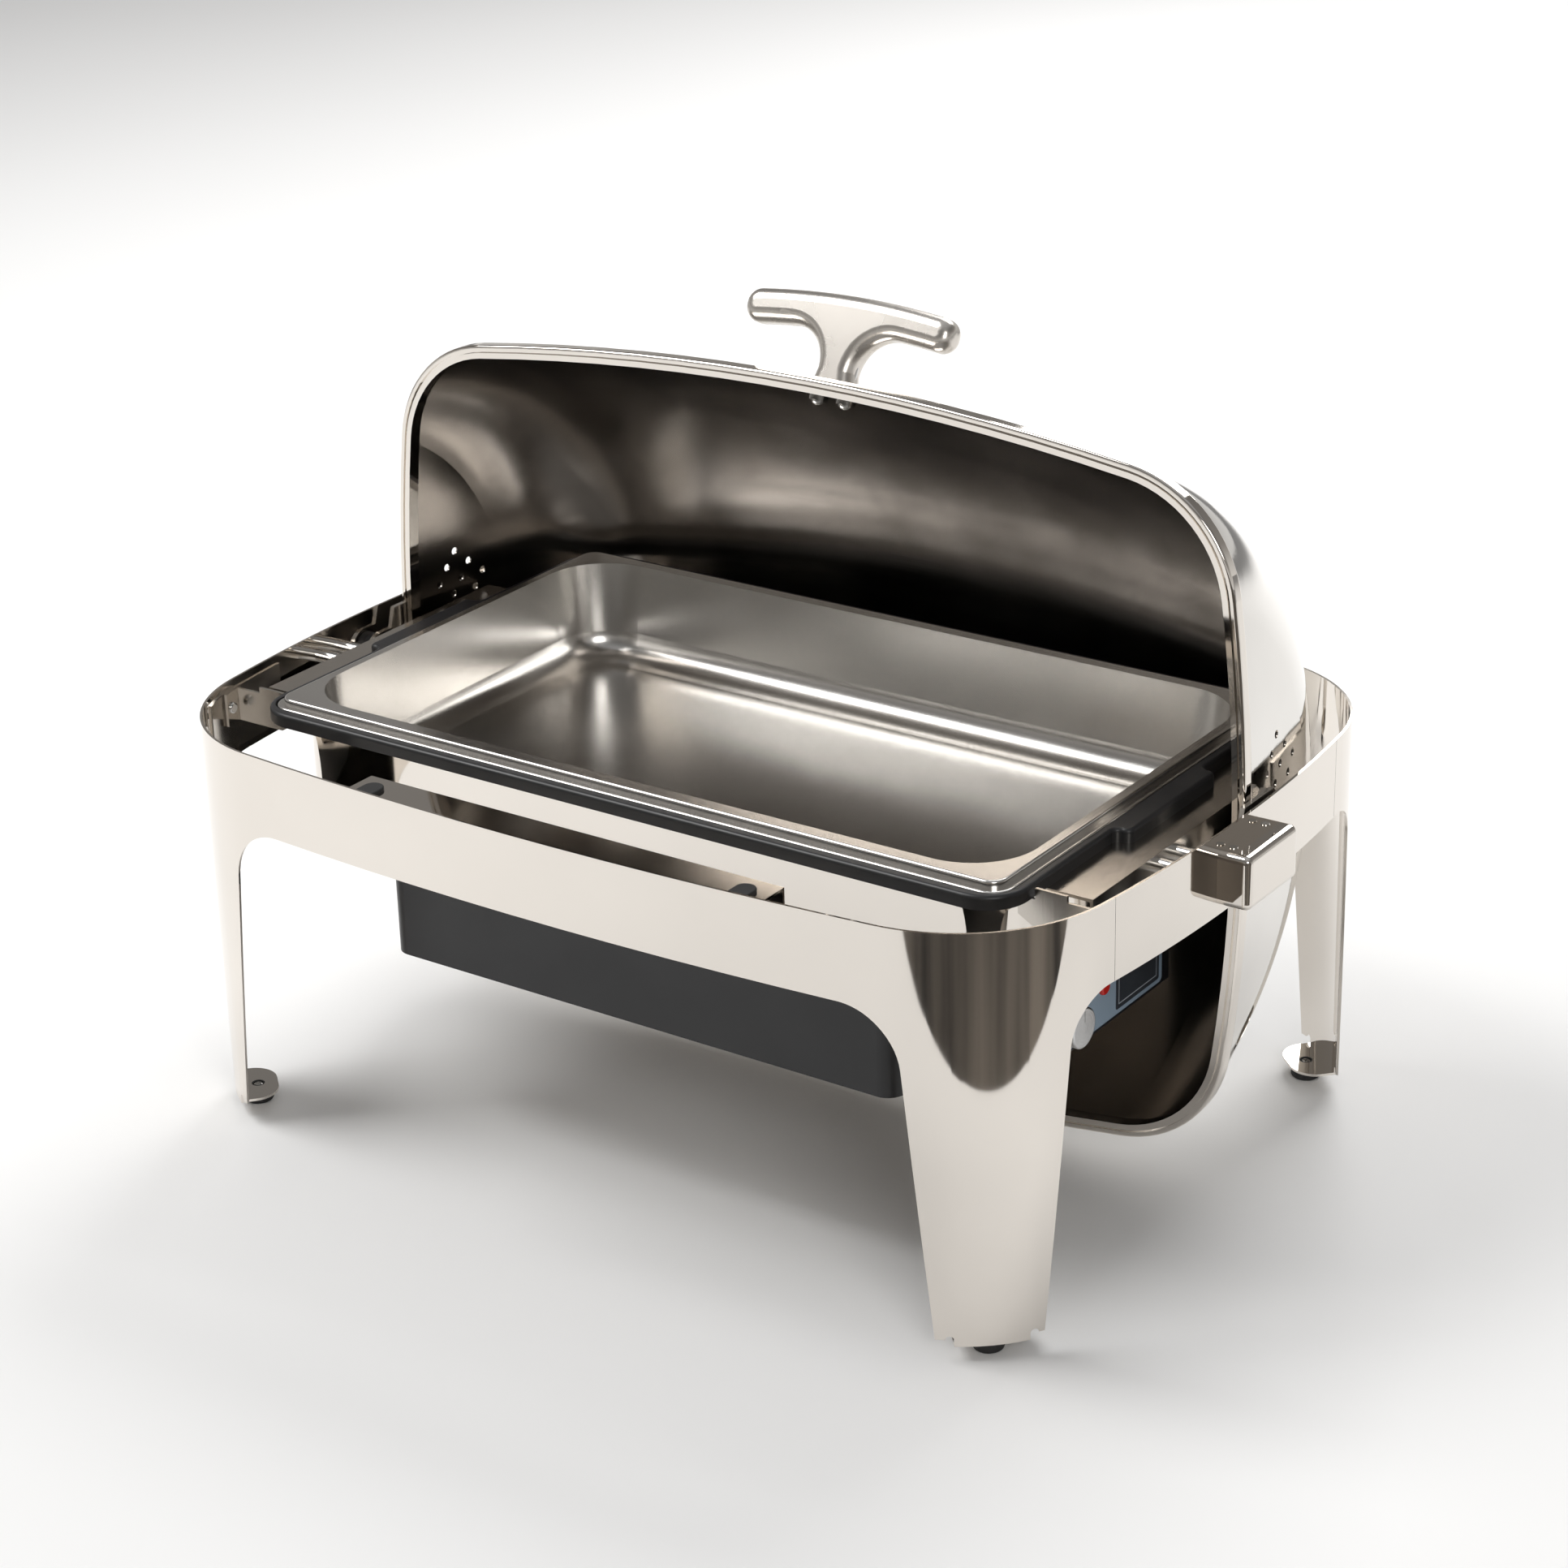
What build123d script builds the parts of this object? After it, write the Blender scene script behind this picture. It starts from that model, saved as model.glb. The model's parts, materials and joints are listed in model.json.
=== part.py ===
from build123d import *
from math import asin, cos, degrees, radians, sin
import os

os.makedirs("parts", exist_ok=True)

# Millimetres. Origin: on the floor under the middle of the frame. +X runs along the length,
# to the end with the control panel, +Y runs to the back, where the open lid hangs, +Z is up.
# Heights below are measured from a datum under the floor, and save() takes GROUND off them.

# --- Driving dimensions ---------------------------------------------------------------------
GROUND = 4.0                # height of the floor above the datum
FLANGE_TOP = 272.0          # top of the food pan's flange
BAND_TOP = 267.0            # top edge of the frame's band
BAND_HEIGHT = 50.0
BAND_HALF_X = 325.0         # outside of the band at the middle of the short sides
BAND_HALF_Y = 238.0         # outside of the band at the middle of the long sides
BAND_CORNER = (303.0, 220.0)
BAND_RADIUS = 100.0
SHEET = 1.6                 # frame sheet thickness
JOINT_SHEET = 1.2           # plates behind the seams
SEAM_Y = 130.0              # seams between the end pieces and the side bands
SEAM_GAP = 0.3

FRONT_WINDOW = (261.0, 237.0, 38.0)          # half width low down and at the band, top radius
SIDE_WINDOW = (181.7, 161.5, 30.0)
LEG_BOTTOM = 17.5
FOOT_X, FOOT_Y = 274.4, 191.2
FOOT_ANGLE = 47.9           # direction from a foot's screw out through the leg, degrees
FOOT_TOP = 13.5
FOOT_RADIUS = 9.3
TAB_WIDTH = 43.0
TAB_REACH = 12.5            # from the screw to the tab's inner edge
TAB_HOLE = 4.2

PIVOT_Z = 240.3             # lid pivot height, at y = 0
RIM_Y = 22.0                # front of the open lid's rim, behind the pivot
RIM_DEPTH = 9.0
RIM_WIDTH = 7.0
LID_HALF_X = 313.0
LID_HALF_Z = 229.0
LID_CORNER = (293.5, 203.0)
LID_RADIUS = 80.0
LID_SHEET = 1.0
DOME_AXIS_Y = -38.0         # the dome's round section is centred in front of the pivot

HANDLE_Y = 75.5             # where the handle's stem meets the open dome
HANDLE_LENGTH = 150.0
HANDLE_TOP = 57.0           # top of the grip above the dome
GRIP_HEIGHT = 21.5
HANDLE_DEPTH = 20.0
STEM_WIDTH = 25.0
STUD_X = 10.0
STUD_RADIUS = 3.0
STEAM_Y, STEAM_Z = 75.5, 29.0                # middle of the nine holes, from the pivot
STEAM_STEP_A = (12.6, -10.2)                 # from one hole to the next, in Y and Z
STEAM_STEP_B = (-7.3, -9.8)

PAN_HALF_X, PAN_HALF_Y = 265.0, 162.5       # full size food pan, 530 x 325
PAN_DEPTH = 65.0
PAN_SHEET = 1.0
PAN_TAPER = 6.0             # slope of the food pan's sides, degrees

WATER_RIM_HALF_X, WATER_RIM_HALF_Y = 271.0, 170.0
WATER_RIM_TOP = 267.5
WATER_RIM_BOTTOM = 259.0
WATER_STEP_Z = 212.0
WATER_FLOOR = 174.0
WATER_SHEET = 1.2
WATER_HALF_X, WATER_HALF_Y = 257.0, 151.5   # outside of the basin under its flange
SEAT_Z = 263.5              # the food pan's lip rests on the basin's flange at this height
LUG_HALF_X, LUG_HALF_Y = 281.0, 50.0

HOUSING_HALF_X = 187.0
HOUSING_FRONT, HOUSING_BACK = -151.0, 139.0
HOUSING_BOTTOM = 115.0
HOUSING_WALL = 1.5
BOX_END_X, BOX_HALF_Y = 240.0, 72.0
PANEL_SHEET = 1.2
KNOB_Y, KNOB_Z = -57.0, 140.0
SKIRT_RADIUS, CAP_RADIUS = 14.5, 12.6
LAMP_Y, LAMP_Z = -10.0, 143.0

SHELF_TOP = 259.6
SHELF_HALF_X = 149.0
SHELF_BACK = -200.0

AXLE_RADIUS = 4.0
BUSH_RADIUS = 6.0
RUNNING_CLEARANCE = 0.05
ARM_X, ARM_SHEET = 314.8, 3.0
COVER_HALF_Y, COVER_HALF_Z, COVER_END_X = 29.5, 16.6, 345.3
RAIL_X = 298.0
BOLT_YS = (-52.0, -32.0)
BOLT_Z = 252.0
BRACKET_Y = -140.0
BRACKET_TOP = 261.5         # clear of the closed lid's rim

BAND_BOTTOM = BAND_TOP - BAND_HEIGHT
DOME_RADIUS = (LID_HALF_Z**2 + (RIM_Y - DOME_AXIS_Y) ** 2) ** 0.5
MIRROR_X = Plane.YZ
MIRROR_Y = Plane.XZ


# --- Small helpers --------------------------------------------------------------------------
def save(name, shape):
    """Write one sub-part to its own file."""
    export_step(Pos(0, 0, -GROUND) * shape, f"parts/{name}.step")


def both_ends(shape):
    """The shape and its mirror image at the other end of the length."""
    return Compound([shape, mirror(shape, about=MIRROR_X)])


def block(x0, x1, y0, y1, z0, z1):
    """A box from its six limits."""
    centre = Pos((x0 + x1) / 2, (y0 + y1) / 2, (z0 + z1) / 2)
    return centre * Box(x1 - x0, y1 - y0, z1 - z0)


def rod(radius, start, end):
    """A round bar between two points."""
    start, end = Vector(start), Vector(end)
    return Plane(origin=start, z_dir=end - start) * extrude(Circle(radius), (end - start).length)


def tube(outer, inner, start, end):
    """A round bar with a bore."""
    return rod(outer, start, end) - rod(inner, start, end)


def bow(half_length, half_chord, reach):
    """Radius and centre distance of a side that bows out from its corners to half_length."""
    rise = half_length - reach
    radius = (half_chord**2 + rise**2) / (2 * rise)
    return radius, half_length - radius


def bowed_outline(half_x, half_y, corner, radius, grow=0.0):
    """A rounded rectangle whose four sides bow outwards, grown evenly by grow."""
    long_radius, long_centre = bow(half_y, corner[0], corner[1])
    end_radius, end_centre = bow(half_x, corner[1], corner[0])
    ra, rb = long_radius + grow, end_radius + grow
    # The corner is where the circle round (0, long_centre) meets the one round (end_centre, 0).
    span = (long_centre**2 + end_centre**2) ** 0.5
    along = (ra**2 - rb**2 + span**2) / (2 * span)
    across = (ra**2 - along**2) ** 0.5
    ux, uy = end_centre / span, -long_centre / span
    cx, cy = ux * along - uy * across, long_centre + uy * along + ux * across
    if cx < 0 or cy < 0:
        cx, cy = ux * along + uy * across, long_centre + uy * along - ux * across
    sides = [
        ThreePointArc((-cx, -cy), (0, -half_y - grow), (cx, -cy)),
        ThreePointArc((cx, -cy), (half_x + grow, 0), (cx, cy)),
        ThreePointArc((cx, cy), (0, half_y + grow), (-cx, cy)),
        ThreePointArc((-cx, cy), (-half_x - grow, 0), (-cx, -cy)),
    ]
    face = make_face(Curve() + sides)
    return fillet(face.vertices(), radius + grow)


def band_outline(grow=0.0):
    return bowed_outline(BAND_HALF_X, BAND_HALF_Y, BAND_CORNER, BAND_RADIUS, grow)


def band_solid(grow, z0, z1):
    """Everything inside the band's outline, grown or shrunk, between two heights."""
    return Pos(0, 0, z0) * extrude(band_outline(grow), z1 - z0)


def rounded_slab(half_x, half_y, radius, z0, z1):
    return Pos(0, 0, z0) * extrude(RectangleRounded(2 * half_x, 2 * half_y, radius), z1 - z0)


# --- Frame ----------------------------------------------------------------------------------
def window(half_low, half_high, radius):
    """The opening between two legs: tapered sides and a rounded top."""
    low, high = -20.0, BAND_BOTTOM
    shape = Polygon((-half_low, low), (half_low, low), (half_high, high), (-half_high, high), align=None)
    top = shape.vertices().sort_by(Axis.Y)[-2:]
    return fillet(top, radius)


def foot_place(z):
    """At a foot's screw: local X runs out through the leg, local Y along the bend."""
    return Pos(FOOT_X, FOOT_Y, z) * Rot(0, 0, FOOT_ANGLE)


def foot_tab():
    """The leg's bent foot: the strip of the leg that runs down and turns in under the corner."""
    reach_out = 60.0
    outline = Pos((reach_out - TAB_REACH) / 2, 0) * Rectangle(reach_out + TAB_REACH, TAB_WIDTH)
    outline = fillet(outline.vertices().group_by(Axis.X)[0], 16)
    plate = foot_place(FOOT_TOP) * extrude(outline, SHEET) & band_solid(0, 0, BAND_TOP)
    wall = band_solid(0, FOOT_TOP, LEG_BOTTOM) - band_solid(-SHEET, 0, BAND_TOP)
    drop = wall & foot_place(0) * Pos(reach_out / 2, 0, 0) * Box(reach_out, TAB_WIDTH, 2 * BAND_TOP)
    return plate + drop - foot_place(0) * extrude(Circle(TAB_HOLE), 2 * FOOT_TOP)


def bend_reliefs():
    """The two round bites beside the tab, where the leg's lower edge meets the bend."""
    radius = 2.5
    offset = TAB_WIDTH / 2 + radius
    bite = Rot(0, 90, 0) * extrude(Circle(radius), 100)
    return Compound([foot_place(LEG_BOTTOM) * Pos(0, side * offset, 0) * bite for side in (-1, 1)])


def frame_ring():
    """The band with all four legs, before it is cut into its four pieces."""
    ring = band_solid(0, LEG_BOTTOM, BAND_TOP) - band_solid(-SHEET, 0, BAND_TOP + 1)
    front = Plane.XZ * extrude(window(*FRONT_WINDOW), 400, both=True)
    side = Plane.YZ * extrude(window(*SIDE_WINDOW), 400, both=True)
    corners_only = block(-200, 200, -400, 400, 0, BAND_TOP + 50)
    front = front - block(-400, 400, -120, 120, -30, 300)
    side = side - corners_only
    return ring - front - side


def end_piece():
    """The front piece: its stretch of band and the two legs on its corners."""
    piece = frame_ring() & block(-400, 400, -300, -SEAM_Y, 0, 300)
    reliefs = mirror(bend_reliefs(), about=MIRROR_Y)
    tab = mirror(foot_tab(), about=MIRROR_Y)
    for mirrored in (False, True):
        piece = piece - (mirror(reliefs, about=MIRROR_X) if mirrored else reliefs)
        piece = piece + (mirror(tab, about=MIRROR_X) if mirrored else tab)
    return piece


def side_band():
    """The strip of band on the right, between the two seams, with its holes."""
    limit = SEAM_Y - SEAM_GAP
    strip = band_solid(0, BAND_BOTTOM, BAND_TOP) - band_solid(-SHEET, 0, BAND_TOP + 1)
    strip = strip & block(300, 400, -limit, limit, 0, 300)
    bush_hole = rod(BUSH_RADIUS, (300, 0, PIVOT_Z), (400, 0, PIVOT_Z))
    return strip - bush_hole


def joint_plate():
    """The plate behind one front seam, spot welded to the two pieces that it joins."""
    plate = band_solid(-SHEET, 222, BRACKET_TOP) - band_solid(-SHEET - JOINT_SHEET, 0, 300)
    return plate & block(200, 400, -172, -94, 0, 300)


def rubber_foot(x, y):
    """A round foot with a neck in the tab's hole, hollowed for the screw and its nut."""
    foot = Pos(x, y, GROUND) * extrude(Circle(FOOT_RADIUS), FOOT_TOP - GROUND)
    foot = fillet(foot.edges().group_by(Axis.Z)[0], 2.0)
    neck = rod(TAB_HOLE, (x, y, FOOT_TOP), (x, y, FOOT_TOP + SHEET))
    recess = rod(3.1, (x, y, FOOT_TOP - 1.0), (x, y, FOOT_TOP + 5))
    nut_well = rod(4.2, (x, y, 0), (x, y, GROUND + 3))
    return foot + neck - recess - nut_well - rod(2.0, (x, y, 0), (x, y, FOOT_TOP))


def foot_screw(x, y):
    """A pan head screw sunk in the foot's neck, with its nut in the well below."""
    low, high = FOOT_TOP - 1.0, FOOT_TOP + 1.2
    head = rod(3.0, (x, y, low), (x, y, high))
    head = fillet(head.edges().group_by(Axis.Z)[-1], 0.8)
    cross = block(x - 2, x + 2, y - 0.4, y + 0.4, high - 1.0, 30)
    cross += block(x - 0.4, x + 0.4, y - 2, y + 2, high - 1.0, 30)
    nut = Pos(x, y, GROUND + 0.6) * extrude(RegularPolygon(4.0, 6), 2.4)
    return head - cross + nut + rod(2.0, (x, y, GROUND + 0.6), (x, y, low))


# --- Lid rest and pan supports ---------------------------------------------------------------
def lid_shelf():
    """The ledge inside the front band that the closed lid's rim comes down on."""
    thickness = 1.5
    top = block(-SHELF_HALF_X, SHELF_HALF_X, -260, SHELF_BACK, SHELF_TOP - thickness, SHELF_TOP)
    apron = block(-SHELF_HALF_X, SHELF_HALF_X, SHELF_BACK - thickness, SHELF_BACK, SHELF_TOP - 22, SHELF_TOP)
    flange = band_solid(-SHEET, SHELF_TOP - 20, SHELF_TOP) - band_solid(-SHEET - thickness, 0, 300)
    flange = flange & block(-SHELF_HALF_X, SHELF_HALF_X, -260, -150, 0, 300)
    return (top & band_solid(-SHEET, 0, 300)) + apron + flange


def shelf_pad(x):
    """A rubber buffer with round ends, lying across the shelf."""
    pad = Pos(x, -219.5, SHELF_TOP) * extrude(Rot(0, 0, 90) * SlotOverall(20, 13), 2.4)
    return fillet(pad.edges().group_by(Axis.Z)[-1], 1.0)


def water_pan_bracket():
    """The right front arm: an upright plate that carries the rim's corner, and its end flange."""
    thickness, low, rim_clear = 2.0, 240.0, WATER_RIM_HALF_X + 2
    arm = Polygon(
        (262, low + 8), (262, WATER_RIM_BOTTOM), (rim_clear, WATER_RIM_BOTTOM), (rim_clear, 265.5),
        (293, 265.5), (293, BRACKET_TOP), (320, BRACKET_TOP), (320, low), (276, low), align=None,
    )
    inside = band_solid(-SHEET - JOINT_SHEET, 0, 300)
    arm = Pos(0, BRACKET_Y, 0) * (Plane.XZ * extrude(arm, thickness)) & inside
    flange = (inside - band_solid(-SHEET - JOINT_SHEET - thickness, 0, 300)) & block(
        280, 400, BRACKET_Y - 13, BRACKET_Y, low, BRACKET_TOP
    )
    return arm + flange - bracket_rivet()


def bracket_rivet():
    """The rivet in the arm's flange, with its round head on the inside."""
    x, y, z = 310.4, BRACKET_Y - 7.5, 251.0
    head = rod(3.6, (x - 2.2, y, z), (x, y, z))
    head = fillet(head.edges().sort_by(Axis.X)[0], 1.2)
    shank = rod(1.8, (x, y, z), (x + 5, y, z)) & band_solid(-SHEET - JOINT_SHEET, 0, 300)
    return head + shank


def side_rail():
    """The right rail: an angle along the inside of the end that carries the water pan's rim."""
    y0, y1, thickness = -124.0, 95.0, 2.0
    web = block(RAIL_X, RAIL_X + thickness, y0, y1, 238, WATER_RIM_BOTTOM)
    flange = block(262.5, RAIL_X + thickness, y0, y1, WATER_RIM_BOTTOM - thickness, WATER_RIM_BOTTOM)
    rail = web + flange
    for y in BOLT_YS:
        rail -= rod(2.6, (280, y, BOLT_Z), (320, y, BOLT_Z))
    return rail


def rail_collar(y):
    """A threaded spacer welded to the band, which the rail is bolted to."""
    collar = tube(4.6, 2.5, (RAIL_X + 2, y, BOLT_Z), (340, y, BOLT_Z))
    return collar & band_solid(-SHEET, 0, 300)


def rail_bolt(y):
    """A socket head bolt with its hexagon socket facing inwards."""
    head = rod(4.2, (RAIL_X - 5, y, BOLT_Z), (RAIL_X, y, BOLT_Z))
    head = fillet(head.edges().sort_by(Axis.X)[0], 0.6)
    socket = Plane(origin=(RAIL_X - 5, y, BOLT_Z), z_dir=(1, 0, 0)) * extrude(RegularPolygon(2.3, 6), 3)
    return head - socket + rod(2.5, (RAIL_X, y, BOLT_Z), (RAIL_X + 18, y, BOLT_Z))


# --- Hinges ----------------------------------------------------------------------------------
BASE_END_X = 331.0


def hinge_bush():
    """The flanged bush in the band and the hinge block that the lid's axle turns in."""
    flange = rod(10, (318.2, 0, PIVOT_Z), (323.3, 0, PIVOT_Z))
    barrel = rod(BUSH_RADIUS, (323.3, 0, PIVOT_Z), (BASE_END_X, 0, PIVOT_Z))
    bore = rod(AXLE_RADIUS + RUNNING_CLEARANCE, (310, 0, PIVOT_Z), (340, 0, PIVOT_Z))
    return flange + barrel - bore


def cover_screw_places():
    return [(329.0, y) for y in (-19.0, 19.0)]


def cover_screw(x, y):
    """A small countersunk screw down through the cover's top into the hinge block."""
    top = PIVOT_Z + COVER_HALF_Z
    shank = rod(1.5, (x, y, PIVOT_Z + 6), (x, y, top - 1))
    return shank + rod(2.6, (x, y, top - 1), (x, y, top + 0.4))


def hinge_block():
    """The block on the band's outside that carries the bush."""
    body = block(320, BASE_END_X, -26, 26, PIVOT_Z - 13.5, PIVOT_Z + 13.5)
    body = fillet(body.edges().filter_by(Axis.X), 4)
    body = body - band_solid(0, 0, 300)
    body = body - rod(BUSH_RADIUS, (310, 0, PIVOT_Z), (340, 0, PIVOT_Z))
    for x, y in cover_screw_places():
        body -= rod(1.5, (x, y, PIVOT_Z + 6), (x, y, PIVOT_Z + 30))
    return body


def hinge_cover():
    """The pressed cover over the hinge block, open towards the band."""
    wall = 1.4
    z0, z1 = PIVOT_Z - COVER_HALF_Z, PIVOT_Z + COVER_HALF_Z
    outer = block(310, COVER_END_X, -COVER_HALF_Y, COVER_HALF_Y, z0, z1)
    outer = fillet(outer.edges().filter_by(Axis.X) + outer.faces().sort_by(Axis.X)[-1].edges(), 4.5)
    hollow = block(300, COVER_END_X - wall, -COVER_HALF_Y + wall, COVER_HALF_Y - wall, z0 + wall, z1 - wall)
    hollow = fillet(hollow.edges().filter_by(Axis.X) + hollow.faces().sort_by(Axis.X)[-1].edges(), 3.2)
    cover = outer - hollow - band_solid(0, 0, 300)
    for x, y in cover_screw_places():
        cover -= cover_screw(x, y)
    return cover


def lid_arm():
    """The plate that joins the lid's right end to the axle, with its welded packing block."""
    profile = Pos(0, 0) * Circle(12) + Polygon(
        (0, -12), (56, -10), (62, -4), (62, 12), (50, 25), (15, 25), (11, 12), (0, 12), align=None
    )
    plate = Plane(origin=(ARM_X, 0, PIVOT_Z), x_dir=(0, 1, 0), z_dir=(1, 0, 0)) * extrude(profile, ARM_SHEET)
    packing = block(300, ARM_X, 33, 58, PIVOT_Z - 8, PIVOT_Z + 20) - dome_body(0)
    return plate + packing - rod(AXLE_RADIUS, (300, 0, PIVOT_Z), (340, 0, PIVOT_Z))


def lid_axle():
    """The axle that turns with the lid, with its head on the inside."""
    head = rod(7, (309.8, 0, PIVOT_Z), (ARM_X, 0, PIVOT_Z))
    head = fillet(head.edges().sort_by(Axis.X)[0], 1.5)
    return head + rod(AXLE_RADIUS, (ARM_X, 0, PIVOT_Z), (341, 0, PIVOT_Z))


def friction_disc():
    return tube(11, AXLE_RADIUS, (BASE_END_X + 0.2, 0, PIVOT_Z), (BASE_END_X + 1.8, 0, PIVOT_Z))


def spring_washer():
    """A coned washer that presses the friction disc."""
    start, end = BASE_END_X + 1.8, BASE_END_X + 3.6
    cone = Plane(origin=(start, 0, PIVOT_Z), z_dir=(1, 0, 0)) * Cone(
        10, 6.4, end - start, align=(Align.CENTER, Align.CENTER, Align.MIN)
    )
    return cone - rod(AXLE_RADIUS, (300, 0, PIVOT_Z), (350, 0, PIVOT_Z))


def axle_nut():
    start = BASE_END_X + 3.6
    nut = Plane(origin=(start, 0, PIVOT_Z), z_dir=(1, 0, 0)) * extrude(RegularPolygon(7.5, 6), 5)
    return nut - rod(AXLE_RADIUS, (300, 0, PIVOT_Z), (350, 0, PIVOT_Z))


def open_stop():
    """The pin on the band that the arm's lower edge rests on when the lid is open."""
    y, z = 30.0, PIVOT_Z - 14.9
    pin = rod(3.2, (ARM_X + 0.2, y, z), (340, y, z))
    return pin & band_solid(-SHEET, 0, 300)


# --- Lid -------------------------------------------------------------------------------------
def dome_body(grow):
    """The solid inside the dome's surface, all the way round its own axis."""
    corner = (LID_CORNER[0], (LID_CORNER[1] ** 2 + (RIM_Y - DOME_AXIS_Y) ** 2) ** 0.5)
    profile = bowed_outline(LID_HALF_X + 1.7, DOME_RADIUS, corner, LID_RADIUS, grow)
    half = profile & Pos(0, 200) * Rectangle(800, 400)
    axis = Axis((0, DOME_AXIS_Y, PIVOT_Z), (1, 0, 0))
    return revolve(Pos(0, DOME_AXIS_Y, PIVOT_Z) * half, axis, 360)


def steam_holes():
    """Nine holes in a slanted square, through both ends of the dome."""
    holes = []
    for i in (-1, 0, 1):
        for j in (-1, 0, 1):
            y = STEAM_Y + i * STEAM_STEP_A[0] + j * STEAM_STEP_B[0]
            z = PIVOT_Z + STEAM_Z + i * STEAM_STEP_A[1] + j * STEAM_STEP_B[1]
            holes.append(rod(2.5, (-330, y, z), (330, y, z)))
    return Compound(holes)


def handle_plane():
    """Local Y runs out of the dome along the stem, local X along the length."""
    lean = asin((HANDLE_Y - DOME_AXIS_Y) / DOME_RADIUS)
    out = Vector(0, sin(lean), cos(lean))
    foot = Vector(0, DOME_AXIS_Y, PIVOT_Z) + out * DOME_RADIUS
    return Plane(origin=foot, x_dir=(1, 0, 0), z_dir=(0, -cos(lean), sin(lean)))


def stem_rod(radius, x, low, high):
    """A round bar along the handle's stem, from and to heights above the dome."""
    plane = handle_plane()
    start = plane.from_local_coords(Vector(x, low, 0))
    end = plane.from_local_coords(Vector(x, high, 0))
    return rod(radius, start, end)


def lid_dome():
    """The pressed lid: bowed long sides, rounded ends, a round section from front to back."""
    shell = dome_body(0) - dome_body(-LID_SHEET)
    shell = shell & block(-400, 400, RIM_Y + 2, 400, -20, 600)
    shell = shell - steam_holes()
    for x in (-STUD_X, STUD_X):
        shell -= stem_rod(STUD_RADIUS, x, -10, 10)
    return shell


def lid_rim():
    """The hollow rim folded round the dome's edge, with a groove along its face."""
    def outline(grow):
        return bowed_outline(LID_HALF_X, LID_HALF_Z, LID_CORNER, LID_RADIUS, grow)

    plane = Plane(origin=(0, RIM_Y, PIVOT_Z), x_dir=(1, 0, 0), z_dir=(0, 1, 0))
    bead = fillet(extrude(outline(1.5), RIM_DEPTH).edges(), 1.8)
    bar = plane * (bead - extrude(outline(-RIM_WIDTH), RIM_DEPTH))
    groove = plane * extrude(outline(-2.0) - outline(-3.4), 1.6)
    slot = dome_body(0) - dome_body(-LID_SHEET)
    slot = slot & block(-400, 400, RIM_Y + 2, 400, -20, 600)
    return bar - groove - slot


def lid_handle():
    """The cast handle: an arched grip with round ends on a waisted stem."""
    end_x, arch, top = HANDLE_LENGTH / 2, 5.0, HANDLE_TOP
    stem_x, flare, root = STEM_WIDTH / 2, 3.5, -8.0
    shoulder = top - arch
    bar = make_face(Curve() + [
        ThreePointArc((-end_x, shoulder), (0, top), (end_x, shoulder)),
        Line((end_x, shoulder), (end_x, shoulder - GRIP_HEIGHT)),
        ThreePointArc((end_x, shoulder - GRIP_HEIGHT), (0, top - GRIP_HEIGHT), (-end_x, shoulder - GRIP_HEIGHT)),
        Line((-end_x, shoulder - GRIP_HEIGHT), (-end_x, shoulder)),
    ])
    bar = fillet(bar.vertices(), 10.0)
    stem = Polygon(
        (-stem_x - flare, root), (stem_x + flare, root), (stem_x, 10), (stem_x, 44),
        (-stem_x, 44), (-stem_x, 10), align=None,
    )
    profile = bar + stem
    armpits = [v for v in profile.vertices() if abs(v.X) < 14 and 25 < v.Y < 42]
    profile = fillet(armpits, 24)
    body = extrude(profile, HANDLE_DEPTH / 2, both=True)
    body = fillet(body.edges().filter_by(Axis.Z, reverse=True), 8.0)
    body = handle_plane() * body - dome_body(0)
    for x in (-STUD_X, STUD_X):
        body -= stem_rod(STUD_RADIUS, x, -20, 16)
    return body


STUD_END, WASHER_INNER, WASHER_OUTER, NUT_END = -11.0, -4.5, -3.0, -9.5


def handle_stud(x):
    return stem_rod(STUD_RADIUS, x, STUD_END, 16)


def handle_spacer(x):
    """The sleeve between the dome and the washer: its outer end follows the dome's inside."""
    sleeve = stem_rod(5, x, WASHER_OUTER, 2) - stem_rod(STUD_RADIUS, x, -30, 30)
    return sleeve & dome_body(-LID_SHEET)


def handle_washer(x):
    return stem_rod(7.5, x, WASHER_INNER, WASHER_OUTER) - stem_rod(STUD_RADIUS, x, -30, 30)


def handle_nut(x):
    """A domed nut on the stud's inner end."""
    dome_radius, dome_height = 5.9, 2.5
    skirt = stem_rod(6.2, x, NUT_END, WASHER_INNER)
    centre = handle_plane().from_local_coords(Vector(x, NUT_END - dome_height + dome_radius, 0))
    ball = Pos(*centre) * Sphere(dome_radius)
    nut = skirt + (ball & stem_rod(5.2, x, NUT_END - 5, NUT_END))
    return nut - stem_rod(STUD_RADIUS, x, STUD_END, 0)


# --- Food pan and water pan --------------------------------------------------------------------
def tapered_bowl(half_x, half_y, radius, top, depth, taper, floor_radius):
    """A solid block with sloping sides and a rounded bottom edge, hanging from its top plane."""
    body = extrude(RectangleRounded(2 * half_x, 2 * half_y, radius), -depth, taper=taper)
    body = Pos(0, 0, top) * body
    bottom = body.edges().group_by(Axis.Z)[0]
    return fillet(bottom, floor_radius)


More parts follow.
